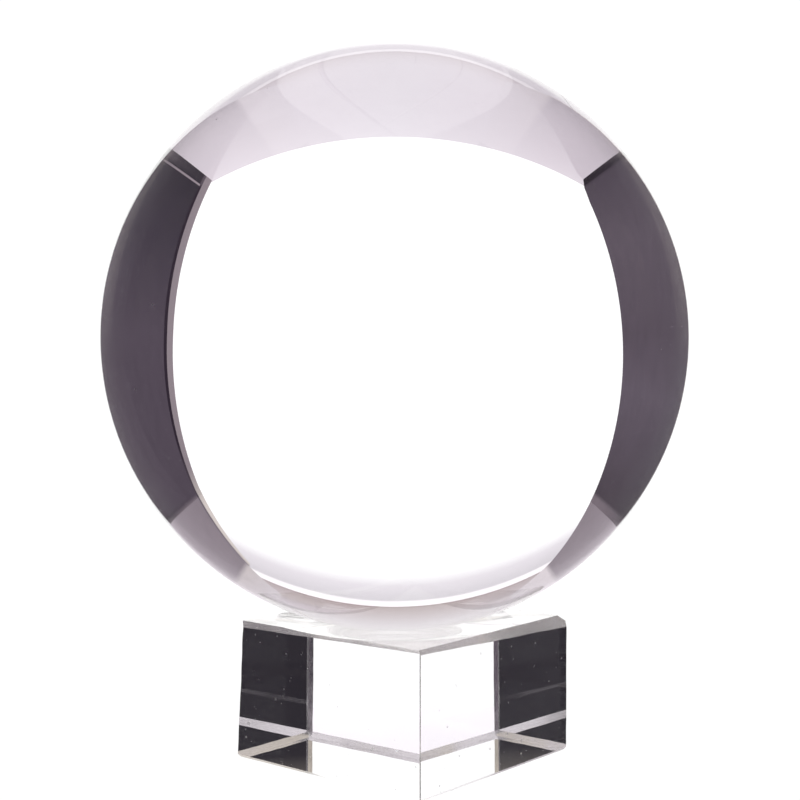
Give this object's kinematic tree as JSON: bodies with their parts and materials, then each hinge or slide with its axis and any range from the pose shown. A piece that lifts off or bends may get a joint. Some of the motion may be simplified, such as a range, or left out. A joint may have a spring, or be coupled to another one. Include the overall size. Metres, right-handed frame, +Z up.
{
  "type": "crystal ball on a glass stand",
  "caption": "Solid clear glass ball resting by its own weight in the shallow round dish of a low square glass block with chamfered edges.",
  "frame": {"origin": "on the surface the stand rests on, straight below the middle of the ball", "axes": "+Z up, along the line the ball lifts off on; +X and +Y square to the stand's side faces"},
  "size_m": [0.08, 0.08, 0.0975],
  "materials": {
    "ball_glass": "polished all over, clear",
    "stand_glass": "polished faces, finely ground chamfers and edges"
  },
  "bodies": {
    "stand": {"glass_stand": "stand_glass"},
    "ball": {"crystal_ball": "ball_glass"}
  },
  "joints": [
    {"name": "ball_lift", "type": "slide", "parent": "stand", "child": "ball", "axis": [0, 0, 1], "range_m": [0, 0.05]}
  ]
}
